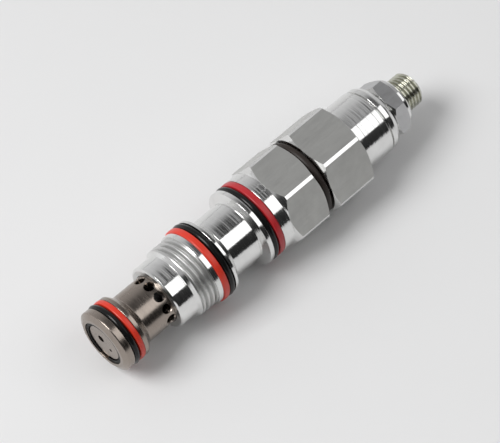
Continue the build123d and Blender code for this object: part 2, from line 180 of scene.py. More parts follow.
class StudioSettings(bpy.types.PropertyGroup):
    """Camera, lights and floor."""
    azimuth: FloatProperty(name="Azimuth", description="Camera heading; 0 looks along +Y",
                           default=math.radians(-44.53), subtype="ANGLE")
    elevation: FloatProperty(name="Elevation", description="Camera height over the horizon",
                             default=math.radians(58.5), subtype="ANGLE")
    roll: FloatProperty(name="Roll", description="Camera roll", default=math.radians(0.09),
                        subtype="ANGLE")
    distance: FloatProperty(name="Distance", description="Camera to aim point",
                            default=0.6697, unit="LENGTH")
    lens: FloatProperty(name="Lens", description="Focal length in millimetres on a 36 mm sensor",
                        default=195.8)
    floor: colour("Floor", "Pale floor", (0.80, 0.80, 0.80))


SETTINGS = {
    "valve_body_sizes": ValveBodySizes,
    "nose_sleeve_sizes": NoseSleeveSizes,
    "seal_sizes": SealSizes,
    "adjuster_sizes": AdjusterSizes,
    "finish_colours": FinishColours,
    "studio_settings": StudioSettings,
}


# ---------------------------------------------------------------- mesh making

def rounded(points):
    """An outline of (x, radius, corner radius) points with each corner turned into an arc."""
    out = []
    for i, (x, r, corner) in enumerate(points):
        here = Vector((x, r))
        if corner <= 0 or i in (0, len(points) - 1):
            out.append((x, r))
            continue
        back = Vector(points[i - 1][:2]) - here
        ahead = Vector(points[i + 1][:2]) - here
        turn = back.angle(ahead)
        reach = min(corner / math.tan(turn / 2), 0.45 * back.length, 0.45 * ahead.length)
        start = here + back.normalized() * reach
        end = here + ahead.normalized() * reach
        for n in range(ARC_STEPS + 1):
            t = n / ARC_STEPS
            p = start * (1 - t) ** 2 + here * 2 * t * (1 - t) + end * t ** 2
            out.append((p.x, p.y))
    return out


def round_ring(x, radius):
    """A circle of points about the axis."""
    a = np.arange(AROUND) / AROUND * 2 * math.pi
    return np.stack([np.full(AROUND, x), radius * np.cos(a), radius * np.sin(a)], 1)


def hex_ring(x, radius, flat, spin=0.0):
    """Where a circle of this radius is cut by a hexagon with flats at distance flat."""
    full = radius >= flat / math.cos(SIXTH)
    edge = SIXTH if full else math.acos(min(1.0, flat / max(radius, flat)))
    points = []
    for side in range(6):
        middle = spin + SIXTH + side * math.pi / 3
        c, s = math.cos(middle), math.sin(middle)
        for n in range(SIDE_CELLS):
            if full and n == 0:
                along, out = -flat * math.tan(edge), flat
            elif CORNER_CELLS <= n <= CORNER_CELLS + 2 * FLAT_CELLS:
                t = (n - CORNER_CELLS) / FLAT_CELLS - 1
                along, out = t * flat * math.tan(edge), flat
            else:
                if n < CORNER_CELLS:
                    a = -SIXTH + (SIXTH - edge) * n / CORNER_CELLS
                else:
                    a = edge + (SIXTH - edge) * (n - SIDE_CELLS + CORNER_CELLS) / CORNER_CELLS
                along, out = radius * math.sin(a), radius * math.cos(a)
            points.append((x, out * c - along * s, out * s + along * c))
    return np.array(points)


def flat_cells(mark_flat, mark_round):
    """The finish of each cell round a hex ring."""
    marks = []
    for n in range(AROUND):
        m = n % SIDE_CELLS
        flat = CORNER_CELLS <= m < CORNER_CELLS + 2 * FLAT_CELLS
        marks.append(mark_flat if flat else mark_round)
    return np.array(marks)


class Shell:
    """Rings of points, the faces between them and each face's finish."""

    def __init__(self):
        self.points = []
        self.faces = []
        self.marks = []
        self.count = 0

    def add(self, ring):
        """Stores a ring and returns the index of its first point."""
        start = self.count
        self.points.append(ring)
        self.count += len(ring)
        return start

    def band(self, first, second, marks):
        """Faces between two closed rings of the same length."""
        j = np.arange(len(marks))
        k = (j + 1) % len(marks)
        self.faces.append(np.stack([first + j, first + k, second + k, second + j], 1))
        self.marks.append(marks)

    def turned(self, outline, mark, last=None):
        """Round bands along an outline, joined to the ring at last if there is one."""
        marks = np.full(AROUND, mark)
        for x, r in outline:
            ring = self.add(round_ring(x, r))
            if last is not None:
                self.band(last, ring, marks)
            last = ring
        return last

    def hexed(self, stations, flat, spin, marks, last=None):
        """Bands along stations of (x, envelope radius), cut by a hexagon."""
        for x, radius in stations:
            ring = self.add(hex_ring(x, radius, flat, spin))
            if last is not None:
                self.band(last, ring, marks)
            last = ring
        return last

    def threaded(self, x0, x1, crest, depth, pitch, start, fades, mark, envelope=None):
        """A right-hand thread between x0 and x1. start is where one groove's turn begins."""
        turn = np.arange(AROUND + 1) / AROUND
        first = math.floor((x0 - start) / pitch) - 1
        last = math.ceil((x1 - start) / pitch)
        rows = []
        for k in range(first, last + 1):
            for part, deep in THREAD_FORM:
                x = np.clip(start + (k + part + turn) * pitch, x0, x1)
                fade = np.clip((x - x0) / fades[0], 0, 1) * np.clip((x1 - x) / fades[1], 0, 1)
                r = crest - depth * deep * fade * fade * (3 - 2 * fade)
                if envelope:
                    r = np.minimum(r, envelope(x))
                a = turn * 2 * math.pi
                rows.append(self.add(np.stack([x, r * np.cos(a), r * np.sin(a)], 1)))
        j = np.arange(AROUND)
        for a, b in zip(rows, rows[1:]):
            self.faces.append(np.stack([a + j, a + j + 1, b + j + 1, b + j], 1))
            self.marks.append(np.full(AROUND, mark))

    def build(self, name, materials):
        """An object from the rings and faces, tidied and shaded smooth."""
        mesh = bpy.data.meshes.new(name)
        points = np.concatenate(self.points) * MM
        mesh.from_pydata(points.tolist(), [], np.concatenate(self.faces).tolist())
        mesh.polygons.foreach_set("material_index", np.concatenate(self.marks).astype(np.int32))
        for material in materials:
            mesh.materials.append(material)
        tidy_mesh(mesh)
        thing = bpy.data.objects.new(name, mesh)
        bpy.context.scene.collection.objects.link(thing)
        return thing


def shade(mesh):
    """Shades every face smooth and marks the sharp edges."""
    mesh.polygons.foreach_set("use_smooth", [True] * len(mesh.polygons))
    mesh.set_sharp_from_angle(angle=SMOOTH_LIMIT)
    mesh.update()


def tidy_mesh(mesh):
    """Merges doubled points, turns faces outwards and shades the mesh."""
    bm = bmesh.new()
    bm.from_mesh(mesh)
    bmesh.ops.remove_doubles(bm, verts=bm.verts, dist=MERGE_DIST)
    thin = [e for e in bm.edges if e.calc_length() < MERGE_DIST]
    bmesh.ops.collapse(bm, edges=thin)
    bmesh.ops.recalc_face_normals(bm, faces=bm.faces)
    bm.to_mesh(mesh)
    bm.free()
    shade(mesh)


def lathe(name, outline, material):
    """A closed turned piece from an outline that returns to its start."""
    shell = Shell()
    shell.turned(list(outline) + [outline[0]], 0)
    return shell.build(name, [material])


def rounded_loop(points):
    """A closed outline with every corner rounded."""
    middle = tuple((a + b) / 2 for a, b in zip(points[0][:2], points[-1][:2])) + (0.0,)
    return rounded([middle, *points, middle])[:-1]


def hex_chamfer(x_edge, x_face, r_face, r_edge, flat):
    """Stations of a cone that cuts a hex's corners, from its face to its full corner radius."""
    slope = (x_edge - x_face) / (r_edge - r_face)
    widest = math.acos(flat / r_edge) if r_edge < flat / math.cos(SIXTH) else SIXTH
    stations = []
    for n in range(CONE_STEPS + 1):
        r = flat / math.cos(widest * n / CONE_STEPS)
        stations.append((x_face + (r - r_face) * slope, r))
    return stations


def cut(thing, cutter):
    """Takes one closed mesh away from another and applies the result."""
    modifier = thing.modifiers.new("cut", "BOOLEAN")
    modifier.operation = "DIFFERENCE"
    modifier.solver = "EXACT"
    modifier.object = cutter
    graph = bpy.context.evaluated_depsgraph_get()
    mesh = bpy.data.meshes.new_from_object(thing.evaluated_get(graph))
    thing.modifiers.clear()
    old = thing.data
    thing.data = mesh
    mesh.name = thing.name
    bpy.data.meshes.remove(old)
    bpy.data.objects.remove(cutter)
    shade(mesh)


def drill(x, degrees, profile):
    """A round cutter square to the axis: profile is (distance from the axis, radius)."""
    bm = bmesh.new()
    a = math.radians(degrees)
    out = Vector((0, math.cos(a), math.sin(a)))
    side = Vector((0, -math.sin(a), math.cos(a)))
    rows = []
    for reach, radius in profile:
        row = []
        for n in range(RING_STEPS):
            t = n / RING_STEPS * 2 * math.pi
            spot = Vector((x, 0, 0)) + out * reach + side * radius * math.sin(t)
            spot += Vector((radius * math.cos(t), 0, 0))
            row.append(bm.verts.new(spot * MM))
        rows.append(row)
    for low, high in zip(rows, rows[1:]):
        for n in range(RING_STEPS):
            m = (n + 1) % RING_STEPS
            bm.faces.new((low[n], low[m], high[m], high[n]))
    bm.faces.new(rows[0][::-1])
    bm.faces.new(rows[-1])
    bmesh.ops.recalc_face_normals(bm, faces=bm.faces)
    mesh = bpy.data.meshes.new("drill")
    bm.to_mesh(mesh)
    bm.free()
    return mesh


def joined_cutter(meshes):
    """Several cutters as one object."""
    bm = bmesh.new()
    for mesh in meshes:
        bm.from_mesh(mesh)
        bpy.data.meshes.remove(mesh)
    whole = bpy.data.meshes.new("cutter")
    bm.to_mesh(whole)
    bm.free()
    thing = bpy.data.objects.new("cutter", whole)
    bpy.context.scene.collection.objects.link(thing)
    return thing


# ---------------------------------------------------------------- shader groups

class Graph:
    """Short calls for adding and joining nodes in one tree."""

    def __init__(self, tree):
        self.tree = tree

    def node(self, kind, values=None, **settings):
        """A node with settings and input values; a value may be another node's socket."""
        made = self.tree.nodes.new(kind)
        for key, value in settings.items():
            setattr(made, key, value)
        for key, value in (values or {}).items():
            socket = made.inputs[key]
            if isinstance(value, bpy.types.NodeSocket):
                self.tree.links.new(value, socket)
            else:
                socket.default_value = value
        return made

    def maths(self, operation, a, b=0.0):
        """The result of one math node."""
        return self.node("ShaderNodeMath", {0: a, 1: b}, operation=operation).outputs[0]

    def spread(self, value, low, high, to_low=0.0, to_high=1.0):
        """A value mapped from one range to another and clamped."""
        values = {"Value": value, "From Min": low, "From Max": high,
                  "To Min": to_low, "To Max": to_high}
        return self.node("ShaderNodeMapRange", values).outputs["Result"]

    def object_coords(self):
        """The object's own coordinates."""
        return self.node("ShaderNodeTexCoord").outputs["Object"]

    def noise(self, vector, scale, detail, roughness):
        """A noise value from 0 to 1."""
        values = {"Vector": vector, "Scale": scale, "Detail": detail, "Roughness": roughness}
        return self.node("ShaderNodeTexNoise", values).outputs["Fac"]

    def mix(self, factor, a, b):
        """A blend of two colours."""
        made = self.node("ShaderNodeMix", data_type="RGBA")
        for key, value in ((0, factor), (6, a), (7, b)):
            if isinstance(value, bpy.types.NodeSocket):
                self.tree.links.new(value, made.inputs[key])
            else:
                made.inputs[key].default_value = value
        return made.outputs[2]


def new_group(name, inputs, outputs):
    """An empty shader node group with named sockets, and its Graph."""
    tree = bpy.data.node_groups.new(name, "ShaderNodeTree")
    for label, value in inputs:
        socket = tree.interface.new_socket(label, in_out="INPUT", socket_type="NodeSocketFloat")
        socket.default_value = value
    for label in outputs:
        tree.interface.new_socket(label, in_out="OUTPUT", socket_type="NodeSocketFloat")
    graph = Graph(tree)
    return graph, graph.node("NodeGroupInput").outputs, graph.node("NodeGroupOutput").inputs


def stretched(graph, along, across):
    """Object coordinates scaled along the axis and across it."""
    scale = graph.node("ShaderNodeCombineXYZ", {0: along, 1: across, 2: across}).outputs[0]
    return graph.node("ShaderNodeVectorMath", {0: graph.object_coords(), 1: scale},
                      operation="MULTIPLY").outputs[0]


def tool_marks_group():
    """Fine lines left by a tool, round the axis or along it, with a few deeper ones."""
    graph, given, out = new_group("Tool marks", [("Along", 9000.0), ("Across", 90.0)],
                                  ["Height", "Roughness"])
    fine = graph.noise(stretched(graph, given["Along"], given["Across"]), 1.0, 3.0, 0.6)
    wide_along = graph.maths("MULTIPLY", given["Along"], 0.4)
    wide_across = graph.maths("MULTIPLY", given["Across"], 0.5)
    wide = graph.noise(stretched(graph, wide_along, wide_across), 1.0, 2.0, 0.5)
    height = graph.maths("ADD", graph.maths("MULTIPLY", fine, 0.3), wide)
    graph.tree.links.new(height, out["Height"])
    graph.tree.links.new(graph.spread(fine, 0.3, 0.7), out["Roughness"])
    return graph.tree


def handling_group():
    """Soft smudges, as on a part that has been handled."""
    graph, given, out = new_group("Handling", [("Smudge size", 260.0)], ["Smudge"])
    smudge = graph.noise(graph.object_coords(), given["Smudge size"], 3.0, 0.6)
    graph.tree.links.new(graph.spread(smudge, 0.35, 0.70), out["Smudge"])
    return graph.tree


def worn_edge_and_highlight_group():
    """Brightened edges, worn plate and painted highlight: where the rounded normal leaves the
    true one.
    """
    graph, given, out = new_group("Edge wear", [("Reach", 0.00018), ("Amount", 1.0)], ["Edge"])
    bevel = graph.node("ShaderNodeBevel", {"Radius": given["Reach"]}, samples=4).outputs[0]
    true = graph.node("ShaderNodeNewGeometry").outputs["Normal"]
    dot = graph.node("ShaderNodeVectorMath", {0: bevel, 1: true}, operation="DOT_PRODUCT")
    edge = graph.spread(dot.outputs["Value"], 0.985, 0.80)
    broken = graph.noise(graph.object_coords(), 1400.0, 3.0, 0.6)
    broken = graph.spread(broken, 0.35, 0.6)
    edge = graph.maths("MULTIPLY", graph.maths("MULTIPLY", edge, broken), given["Amount"])
    graph.tree.links.new(edge, out["Edge"])
    return graph.tree


def moulded_group():
    """The slight unevenness of a moulded seal and the dust on it."""
    graph, given, out = new_group("Moulded", [("Size", 1500.0)], ["Height", "Dust"])
    coords = graph.object_coords()
    fine = graph.noise(coords, given["Size"], 3.0, 0.55)
    large = graph.noise(coords, graph.maths("MULTIPLY", given["Size"], 0.2), 2.0, 0.5)
    dust = graph.noise(coords, graph.maths("MULTIPLY", given["Size"], 3.0), 2.0, 0.7)
    graph.tree.links.new(graph.maths("ADD", graph.maths("MULTIPLY", fine, 0.4), large),
                         out["Height"])
    graph.tree.links.new(graph.spread(dust, 0.60, 0.80), out["Dust"])
    return graph.tree


GROUP_MAKERS = {
    "Tool marks": tool_marks_group,
    "Handling": handling_group,
    "Edge wear": worn_edge_and_highlight_group,
    "Moulded": moulded_group,
}


def use_group(graph, name, values=None):
    """A shared effect placed in a material, made the first time that it is asked for."""
    tree = bpy.data.node_groups.get(name) or GROUP_MAKERS[name]()
    made = graph.node("ShaderNodeGroup", node_tree=tree)
    for key, value in (values or {}).items():
        made.inputs[key].default_value = value
    return made.outputs


# ---------------------------------------------------------------- finishes

def start_material(name):
    """An empty node material with a Principled shader joined to its output."""
    material = bpy.data.materials.new(name)
    material.use_nodes = True
    material.node_tree.nodes.clear()
    graph = Graph(material.node_tree)
    shader = graph.node("ShaderNodeBsdfPrincipled")
    output = graph.node("ShaderNodeOutputMaterial")
    graph.tree.links.new(shader.outputs[0], output.inputs["Surface"])
    return material, graph, shader


def linked(graph, shader, tone, roughness=None, height=None, bump=0.0):
    """Joins the changing values to a shader."""
    graph.tree.links.new(tone, shader.inputs["Base Color"])
    if roughness is not None:
        graph.tree.links.new(roughness, shader.inputs["Roughness"])
    if height is not None:
        values = {"Height": height, "Strength": 1.0, "Distance": bump}
        normal = graph.node("ShaderNodeBump", values).outputs[0]
        graph.tree.links.new(normal, shader.inputs["Normal"])


def metal(name, base, rough, marks, bump, wear=0.35, wear_and_highlight_colour=None):
    """A machined metal. rough is (lowest, highest); marks is (along, across) line density."""
    material, graph, shader = start_material(name)
    shader.inputs["Metallic"].default_value = 1.0
    lines = use_group(graph, "Tool marks", {"Along": marks[0], "Across": marks[1]})
    handled = use_group(graph, "Handling")
    # edge mask: worn plate and painted highlight where the rounded normal turns away
    edges = use_group(graph, "Edge wear", {"Amount": wear})
    dull = (*(c * 0.82 for c in base), 1.0)
    bright = (*(wear_and_highlight_colour or (min(1.0, c * 1.25) for c in base)), 1.0)
    smudge = handled["Smudge"]
    tone = graph.mix(graph.maths("MULTIPLY", smudge, 0.5), (*base, 1.0), dull)
    # edges lightened towards bright: part worn plate, part painted highlight
    tone = graph.mix(edges["Edge"], tone, bright)
    rough_lines = graph.spread(lines["Roughness"], 0.0, 1.0, rough[0], rough[1])
    roughness = graph.maths("ADD", rough_lines, graph.maths("MULTIPLY", smudge, 0.06))
    linked(graph, shader, tone, roughness, lines["Height"], bump)
    return material


def rubber(name, base, rough, size, bump, dust=0.05, gloss=0.5):
    """Moulded rubber with a little dust."""
    material, graph, shader = start_material(name)
    shader.inputs["Specular IOR Level"].default_value = gloss
    skin = use_group(graph, "Moulded", {"Size": size})
    dusty = (*(min(1.0, c + dust) for c in base), 1.0)
    tone = graph.mix(graph.maths("MULTIPLY", skin["Dust"], 0.5), (*base, 1.0), dusty)
    roughness = graph.spread(skin["Dust"], 0.0, 1.0, rough, rough + 0.2)
    linked(graph, shader, tone, roughness, skin["Height"], bump)
    return material


def zinc_finish(colours):
    """Bright plated turned steel."""
    return metal("bright_zinc", colours.zinc, (0.05, 0.13), (3000.0, 40.0), 0.0000850)


def thread_finish(colours):
    """The rougher plate of the thread and of the lower end face."""
    return metal("thread_zinc", colours.thread, (0.30, 0.40), (3000.0, 60.0), 0.0000400)


def milled_finish(colours):
    """Satin flats with drawn lines along the bar."""
    # pale grey edges on the flats: part worn plate, part painted highlight
    return metal("milled_zinc", colours.milled, (0.36, 0.46), (160.0, 5200.0), 0.0000300,
                 wear=0.6, wear_and_highlight_colour=(0.8, 0.8, 0.8))


def sleeve_finish(colours):
    """Warm grey hardened steel of the nose sleeve."""
    # edges lightened: part worn plate, part painted highlight
    return metal("sleeve_steel_skin", colours.sleeve, (0.16, 0.26), (3000.0, 200.0), 0.0000060,
                 wear=0.7)


def nut_finish(colours):
    """Satin plate of the lock nut."""
    # edges lightened: part worn plate, part painted highlight
    return metal("nut_plate", colours.nut, (0.28, 0.38), (300.0, 2200.0), 0.0000020, wear=0.5)


def screw_finish(colours):
    """Plate with a faint yellow passivation."""
    # edges lightened: part worn plate, part painted highlight
    return metal("screw_passivated", colours.screw, (0.12, 0.24), (1500.0, 300.0), 0.0000030,
                 wear=0.6)


def black_oxide_finish(colours):
    """Blackened spring steel."""
    return metal("black_oxide_skin", colours.black_oxide, (0.35, 0.5), (900.0, 900.0), 0.000003)


def spring_finish(colours):
    """Drawn wire."""
    return metal("spring_wire", colours.spring, (0.25, 0.35), (700.0, 700.0), 0.000003)


def ground_finish(colours):
    """Ground inner steel."""
    return metal("ground_inner", colours.ground, (0.15, 0.25), (4000.0, 100.0), 0.000002)


def rubber_finish(colours):
    """Glossy black seal rubber."""
    return rubber("seal_rubber_skin", colours.rubber, 0.20, 900.0, 0.000010, dust=0.02,
                  gloss=0.25)


def vent_finish(colours):
    """Dull brown-black rubber of the vent ring."""
    return rubber("vent_rubber_skin", colours.vent, 0.45, 700.0, 0.00002, dust=0.04, gloss=0.3)


def backup_finish(colours):
    """Red elastomer."""
    return rubber("backup_skin", colours.backup, 0.34, 700.0, 0.000015, dust=0.05)


def backup_deep_finish(colours):
    """Deeper red elastomer of the upper ring."""
    return rubber("backup_deep_skin", colours.backup_deep, 0.34, 700.0, 0.000015, dust=0.04)


FINISHES = {
    "zinc": zinc_finish,
    "milled": milled_finish,
    "thread": thread_finish,
    "sleeve": sleeve_finish,
    "nut": nut_finish,
    "screw": screw_finish,
    "black_oxide": black_oxide_finish,
    "spring": spring_finish,
    "ground": ground_finish,
    "rubber": rubber_finish,
    "vent": vent_finish,
    "backup": backup_finish,
    "backup_deep": backup_deep_finish,
}
made_finishes = {}


def finish(name):
    """A finish by name, made once."""
    if name not in made_finishes:
        made_finishes[name] = FINISHES[name](bpy.context.scene.finish_colours)
    return made_finishes[name]


def place(thing, body, slot, *nodes):
    """Says what a piece rides on and which CAD nodes it stands for; the slot is not used."""
    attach(thing, body)
    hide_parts(*nodes)


# ---------------------------------------------------------------- pieces

def body_turned_lower(s):
    """Outline from the lower lip to the thread."""
    return rounded([
        (-11.2, s.pilot - 0.6, 0), (-11.2, s.pilot - 0.4, 0.1), (-10.8, s.pilot, 0.1),
        (-6.0, s.pilot, 0.15), (-5.25, s.thread, 0),
    ])


def body_turned_middle(s):
    """Outline from the shoulder to the hex."""
    e = s.edge
    return rounded([
        (-0.05, s.thread, 0), (0.0, s.thread, 0), (0.0, s.shoulder, e), (1.5, s.shoulder, e),
        (1.5, 9.05, 0.1), (5.3, 9.05, 0.1), (5.3, s.middle_flange, e),
        (6.1, s.middle_flange, e), (7.7, s.neck, 0.25), (16.3, s.neck, 0.25),
        (16.95, s.upper_flange, e), (18.2, s.upper_flange, e), (18.2, 9.25, 0.1),
        (21.9, 9.25, 0.1), (21.9, s.upper_land, e), (25.05, s.upper_land, 0),
    ])


def body_turned_tube(s):
    """Outline of the spring housing above the hex, its rolled lip and the inside."""
    e = s.edge
    return rounded([
        (52.15, s.hex_flats / 2, 0), (52.15, s.tube, 0.2), (61.58, s.tube, e),
        (61.72, 8.45, 0.05), (62.12, 8.45, 0.05), (62.26, 9.15, e), (63.6, 9.15, 0.5),
        (64.9, 8.35, 0.8), (65.35, 6.9, 0.1), (65.35, 5.95, 0.1), (63.85, 5.95, 0),
        (62.55, 7.25, 0), (16.0, 7.25, 0), (16.0, 5.25, 0), (2.0, 5.25, 0), (2.0, 7.0, 0),
        (-11.2, 7.0, 0),
    ])


class Millimetres:
    """A settings group read in millimetres."""

    def __init__(self, group):
        for key in group.bl_rna.properties.keys():
            value = getattr(group, key)
            if isinstance(value, float):
                setattr(self, key, value / MM)
            elif isinstance(value, int) and not isinstance(value, bool):
                setattr(self, key, value)


class VALVE_OT_body(bpy.types.Operator):
    """Threaded body: cavity thread, seal grooves, neck, both hexes and the spring housing"""
    bl_idname = "valve.body"
    bl_label = "Valve body"

    def execute(self, context):
        s = Millimetres(context.scene.valve_body_sizes)
        flat = s.hex_flats / 2
        shell = Shell()
        last = shell.turned([(-11.2, 7.0), (-11.2, s.pilot - 0.7)], THREAD)
        shell.turned(body_turned_lower(s), ZINC, last)
        shift = VIEW_SIDE_DEG / 360
        first_groove = -3.85 - (0.5 + shift) * s.thread_pitch
        shell.threaded(-5.25, -0.05, s.thread, s.thread_depth, s.thread_pitch, first_groove,
                       (0.45, 0.35), THREAD)
        last = shell.turned(body_turned_middle(s), ZINC)
        marks = flat_cells(MILLED, ZINC)
        lead = hex_chamfer(26.4, 25.05, s.upper_land, s.hex_corner, flat)
        tail = hex_chamfer(35.66, 36.5, flat, s.hex_corner, flat)[::-1]
        last = shell.hexed(lead, flat, 0.0, marks, last)
        last = shell.hexed([(31.0, s.hex_corner)] + tail, flat, 0.0, marks, last)
        groove = [(36.5, 8.85), (36.6, 8.75), (38.8, 8.75), (38.9, 8.85)]
        last = shell.turned(groove, ZINC, last)
        lead = hex_chamfer(39.74, 38.9, flat, s.hex_corner, flat)
        tail = hex_chamfer(51.31, 52.15, flat, s.hex_corner, flat)[::-1]
        last = shell.hexed(lead, flat, 0.0, marks, last)
        last = shell.hexed([(45.0, s.hex_corner)] + tail, flat, 0.0, marks, last)
        shell.turned(body_turned_tube(s), ZINC, last)
        looks = [finish("zinc"), finish("milled"), finish("thread")]
        body = shell.build("valve_body_shell", looks)
        hole, rim = 0.9, 1.1
        profile = [(6.0, hole), (s.neck - 0.17, hole), (s.neck + 0.05, rim), (s.neck + 1.0, rim)]
        cut(body, joined_cutter([drill(10.2, angle, profile) for angle in (234, 294, 354)]))
        place(body, "housing", "zinc_plate", "valve_body")
        return {"FINISHED"}


class VALVE_OT_nose_sleeve(bpy.types.Operator):
    """Nose sleeve with its seal groove and the ring of side holes"""
    bl_idname = "valve.nose_sleeve"
    bl_label = "Nose sleeve"

    def execute(self, context):
        s = Millimetres(context.scene.nose_sleeve_sizes)
        guide = 3.05
        outline = rounded_loop([
            (-29.0, s.ring_groove, 0.06), (-29.0, 7.1, 0.25), (-28.2, s.nose, 0.35),
            (-26.4, s.nose, 0.12), (-26.4, 7.05, 0.1), (-22.9, 7.05, 0.1),
            (-22.9, s.nose, 0.12), (-21.8, s.nose, 0.3), (-20.0, s.sleeve, 0.5),
            (1.9, s.sleeve, 0.1), (1.9, guide, 0.1), (-6.0, guide, 0.1),
            (-7.0, s.chamber, 0.1), (-16.0, s.chamber, 0.05), (-16.0, s.bore, 0.05),
            (-27.9, s.bore, 0.05), (-27.9, s.ring_groove, 0.05),
        ])
        shell = Shell()
        shell.turned(subdivided(outline, 0.6) + [outline[0]], 0)
        sleeve = shell.build("nose_sleeve_shell", [finish("sleeve")])
        wall = math.sqrt(s.sleeve ** 2 - s.side_hole ** 2)
        wide = s.side_hole + s.countersink
        profile = [(4.92, s.side_hole), (wall - s.countersink, s.side_hole),
                   (s.sleeve + 0.05, wide), (s.sleeve + 1.0, wide)]
        angles = [23.6 + n * 360 / s.side_holes for n in range(s.side_holes)]
        cut(sleeve, joined_cutter([drill(-12.75, angle, profile) for angle in angles]))
        place(sleeve, "housing", "sleeve_steel", "nose_sleeve")
        return {"FINISHED"}


def subdivided(outline, step):
    """An outline with no run longer than step."""
    out = []
    for (x0, r0), (x1, r1) in zip(outline, outline[1:] + outline[:1]):
        count = max(1, math.ceil(math.hypot(x1 - x0, r1 - r0) / step))
        for n in range(count):
            t = n / count
            out.append((x0 + (x1 - x0) * t, r0 + (r1 - r0) * t))
    return out


def o_ring(name, x, floor, section, material):
    """A round-section ring with the faint parting line of its mould."""
    outline = []
    for n in range(RING_STEPS):
        a = 2 * math.pi * n / RING_STEPS
        parting = 0.02 if n in (0, RING_STEPS // 2) else 0.0
        r = section / 2 + parting
        outline.append((x + r * math.sin(a), floor + section / 2 + r * math.cos(a)))
    return lathe(name, outline, material)


class VALVE_OT_o_rings(bpy.types.Operator):
    """The three black O-rings in the outside grooves"""
    bl_idname = "valve.o_rings"
    bl_label = "O-rings"

    def execute(self, context):
        s = Millimetres(context.scene.seal_sizes)
        places = {"nose_o_ring": (-25.41, 7.07), "middle_o_ring": (4.31, 9.07),
                  "upper_o_ring": (19.19, 9.27)}
        for node, (x, floor) in places.items():
            ring = o_ring(node + "_skin", x, floor, s.section, finish("rubber"))
            place(ring, "housing", "seal_rubber", node)
        return {"FINISHED"}


class VALVE_OT_backup_rings(bpy.types.Operator):
    """The three red backup rings beside the O-rings"""
    bl_idname = "valve.backup_rings"
    bl_label = "Backup rings"

    def execute(self, context):
        s = Millimetres(context.scene.seal_sizes)
        places = {"nose_backup_ring": (-24.38, -22.92, 7.07, 8.75),
                  "middle_backup_ring": (1.52, 3.23, 9.07, 10.8),
                  "upper_backup_ring": (20.17, 21.88, 9.27, 11.04)}
        e = s.backup_edge
        crown = 0.05
        for node, (x0, x1, inner, outer) in places.items():
            outline = rounded_loop([
                (x0, inner, 0.1), (x0, outer - crown, e), ((x0 + x1) / 2, outer, 0.6),
                (x1, outer - crown, e), (x1, inner, 0.1),
            ])
            look = "backup_deep" if node.startswith("upper") else "backup"
            ring = lathe(node + "_skin", outline, finish(look))
            place(ring, "housing", "backup_red", node)
        return {"FINISHED"}


class VALVE_OT_vent_ring(bpy.types.Operator):
    """The rubber ring that covers the vent between the two hexes"""
    bl_idname = "valve.vent_ring"
    bl_label = "Vent ring"

    def execute(self, context):
        s = Millimetres(context.scene.seal_sizes)
        ring = o_ring("vent_ring_skin", 37.7, 8.77, s.vent_section, finish("vent"))
        place(ring, "housing", "vent_rubber", "vent_ring")
        return {"FINISHED"}


class VALVE_OT_adjusting_screw(bpy.types.Operator):
    """Adjusting screw with its right-hand thread and hex socket"""
    bl_idname = "valve.adjusting_screw"
    bl_label = "Adjusting screw"

    def execute(self, context):
        s = Millimetres(context.scene.adjuster_sizes)
        end = 77.63
        lead = 0.9
        foot = 3.9

        def chamfered(x):
            return np.minimum(s.screw, s.screw - (x - (end - lead)))

        shell = Shell()
        shell.turned(rounded([
            (51.25, TINY, 0), (51.25, foot - 0.6, 0.1), (51.85, foot, 0.1), (53.2, foot, 0),
            (53.2, 3.4, 0), (54.2, 3.4, 0), (54.2, foot, 0.05), (54.7, foot, 0),
            (55.6, s.screw, 0),
        ]), 0)
        shell.threaded(55.6, end, s.screw, s.screw_depth, s.screw_pitch, 55.2,
                       (0.6, 0.05), 0, chamfered)
        last = shell.turned([(end, s.screw - lead), (end, 2.6), (end - 0.12, 2.45)], 0)
        flat = s.socket_flats / 2
        beyond = flat * 2
        deep = end - s.socket_depth
        stations = [(end - 0.16, beyond), (end - 1.5, beyond), (deep, beyond)]
        last = shell.hexed(stations, flat, ADJUSTER_SPIN, flat_cells(0, 0), last)
        shell.turned([(deep, flat * 0.9), (deep - 1.0, TINY)], 0, last)
        screw = shell.build("adjusting_screw_shell", [finish("screw")])
        place(screw, "screw", "yellow_zinc", "adjusting_screw")
        return {"FINISHED"}


class VALVE_OT_lock_nut(bpy.types.Operator):
    """Thin hex lock nut with chamfered corners and a turned collar"""
    bl_idname = "valve.lock_nut"
    bl_label = "Lock nut"

    def execute(self, context):
        s = Millimetres(context.scene.adjuster_sizes)
        flat = s.nut_flats / 2
        corner = flat / math.cos(SIXTH)
        inside = corner * 0.9995
        plain, turned = range(2)
        marks = flat_cells(plain, turned)
        rise = (corner - flat) * math.tan(SIXTH)
        low, high, face = 65.6, 69.95, 6.6
        shell = Shell()
        base = rounded([(low, s.nut_bore + 0.4, 0), (low, face, 0.05),
                        (low + (flat - face) * CHAMFER_RISE, flat, 0)])
        last = shell.turned([(66.0, s.nut_bore)] + base[:-1], turned)
        lead = hex_chamfer(low + (corner - face) * CHAMFER_RISE, low, face, inside, flat)
        tail = hex_chamfer(high - rise, high, flat, inside, flat)[::-1]
        last = shell.hexed(lead, flat, ADJUSTER_SPIN, marks, last)
        last = shell.hexed(tail, flat, ADJUSTER_SPIN, marks, last)
        shell.turned(rounded([
            (69.97, flat - 0.02, 0), (70.0, s.nut_collar, 0.06), (70.9, s.nut_collar, 0.6),
            (71.6, s.nut_collar - 0.7, 0.3), (71.6, s.nut_bore + 0.4, 0.05),
            (71.2, s.nut_bore, 0), (66.0, s.nut_bore, 0),
        ]), turned, last)
        nut = shell.build("lock_nut_shell", [finish("nut"), finish("zinc")])
        place(nut, "nut", "nut_zinc", "lock_nut")
        return {"FINISHED"}


